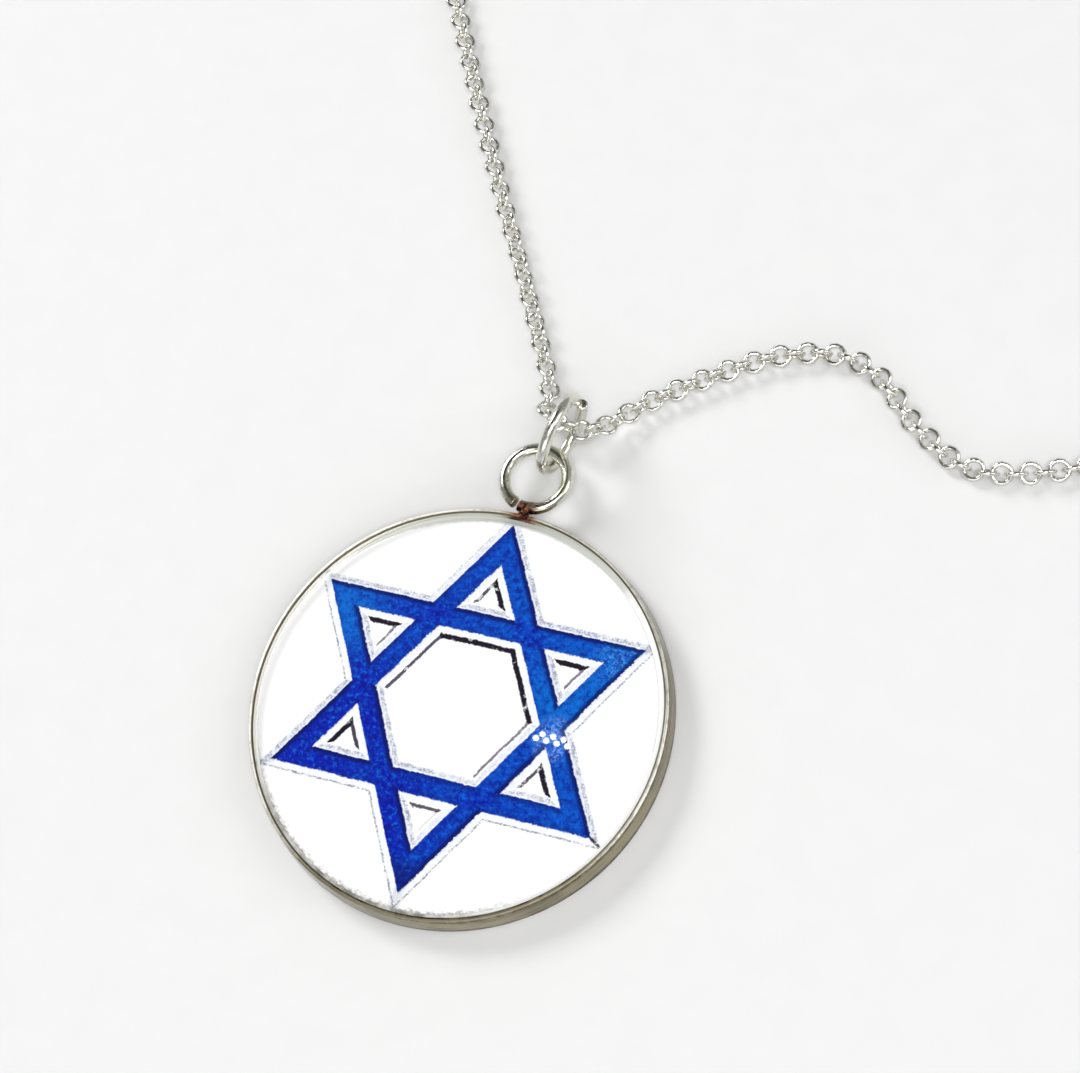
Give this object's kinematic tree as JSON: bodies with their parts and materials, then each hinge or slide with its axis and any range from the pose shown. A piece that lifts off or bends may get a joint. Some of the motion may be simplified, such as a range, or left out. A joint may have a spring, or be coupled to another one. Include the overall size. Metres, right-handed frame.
{
  "type": "star of david pendant on a chain",
  "caption": "Round steel tray pendant holding a white picture of a blue Star of David, hung by a loop and jump ring on a fine round-link necklace chain with a clasp.",
  "frame": {"origin": "centre of the tray's back face, which lies on the floor", "axes": "+Z out of the picture, +Y from the tray's middle to its loop, +X to the picture's right"},
  "size_m": [0.1348, 0.1919, 0.0055],
  "materials": {
    "tray_steel": "satin steel with a bright lip and a brown heat tint at the loop's weld",
    "white_print": "white print under a clear gloss coat",
    "blue_print": "mottled royal blue print under a clear gloss coat",
    "ring_metal": "bright polished",
    "chain_metal": "bright polished",
    "clasp_metal": "bright polished"
  },
  "bodies": {
    "root": {"tray": "tray_steel", "picture_disc": "white_print", "star": "blue_print", "jump_ring": "ring_metal", "chain": "chain_metal", "clasp": "clasp_metal"}
  },
  "joints": []
}
